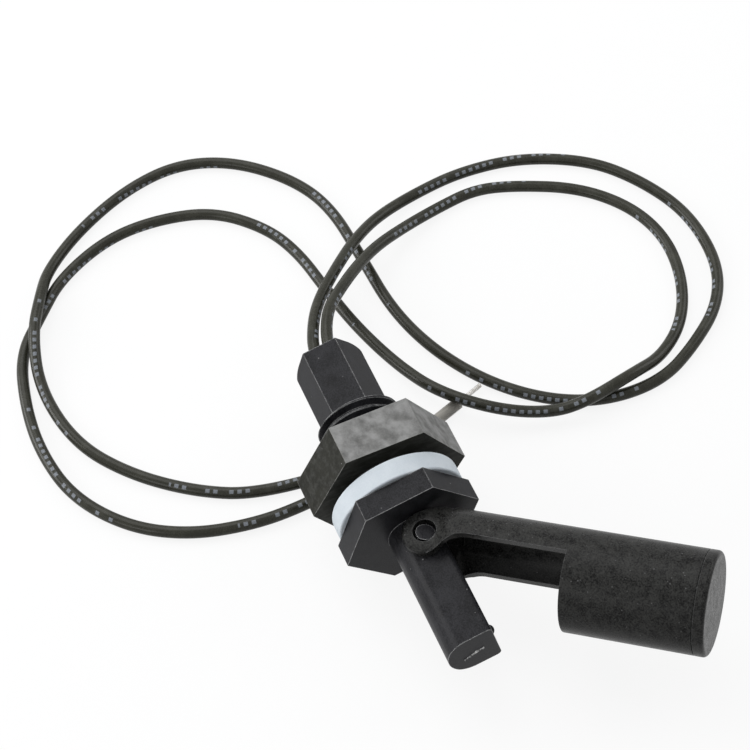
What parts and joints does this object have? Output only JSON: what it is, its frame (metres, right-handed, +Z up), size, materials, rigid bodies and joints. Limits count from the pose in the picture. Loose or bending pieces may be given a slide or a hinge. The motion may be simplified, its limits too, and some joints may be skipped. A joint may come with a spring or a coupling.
{
  "type": "float level switch",
  "caption": "Side-mounted float level switch: threaded stub with flange, gasket and nut, hinged magnetic float on a reed-switch stem, and two loose wires.",
  "frame": {"origin": "centre of the gasket's sealing face, on the axis of the threaded stub, where the switch meets the wall of the tank", "axes": "+X along the stub's axis into the tank, +Z up with the nut lying on one flat, +Y to the side that the float swings out to"},
  "size_m": [0.1543, 0.1386, 0.0283],
  "materials": {
    "housing_plastic": "satin moulded, dark charcoal",
    "nut_plastic": "dusty matte moulded, dark charcoal",
    "gasket_rubber": "soft matte, pale blue-grey",
    "float_plastic": "satin moulded, faintly mottled",
    "magnet_ferrite": "sintered, dull",
    "reed_glass": "clear, faint green",
    "reed_metal": "plated nickel-iron",
    "solder": "smooth",
    "shrink_sleeve": "shrunk, satin",
    "wire_insulation": "satin extruded, black",
    "tinned_copper": "tinned strands",
    "potting_resin": "cured resin"
  },
  "bodies": {
    "housing": {"switch_body": "housing_plastic", "mounting_nut": "nut_plastic", "sealing_gasket": "gasket_rubber", "reed_glass": "reed_glass", "reed_lead_front": "reed_metal", "reed_lead_rear": "reed_metal", "solder_joint_a": "solder", "solder_joint_b": "solder", "insulating_sleeve_a": "shrink_sleeve", "insulating_sleeve_b": "shrink_sleeve", "inner_wire_a": "wire_insulation", "inner_wire_b": "wire_insulation", "potting_plug": "potting_resin", "lead_wire_a": "wire_insulation", "lead_wire_b": "wire_insulation", "wire_end_a": "tinned_copper", "wire_end_b": "tinned_copper"},
    "float": {"float_arm": "float_plastic", "float_cap": "float_plastic", "float_magnet": "magnet_ferrite"}
  },
  "joints": [
    {"name": "float_hinge", "type": "hinge", "parent": "housing", "child": "float", "pos_m": [0.013, 0.00177, 0.00031], "axis": [0, -0.1736, 0.9848], "range_deg": [-53, 13]}
  ]
}
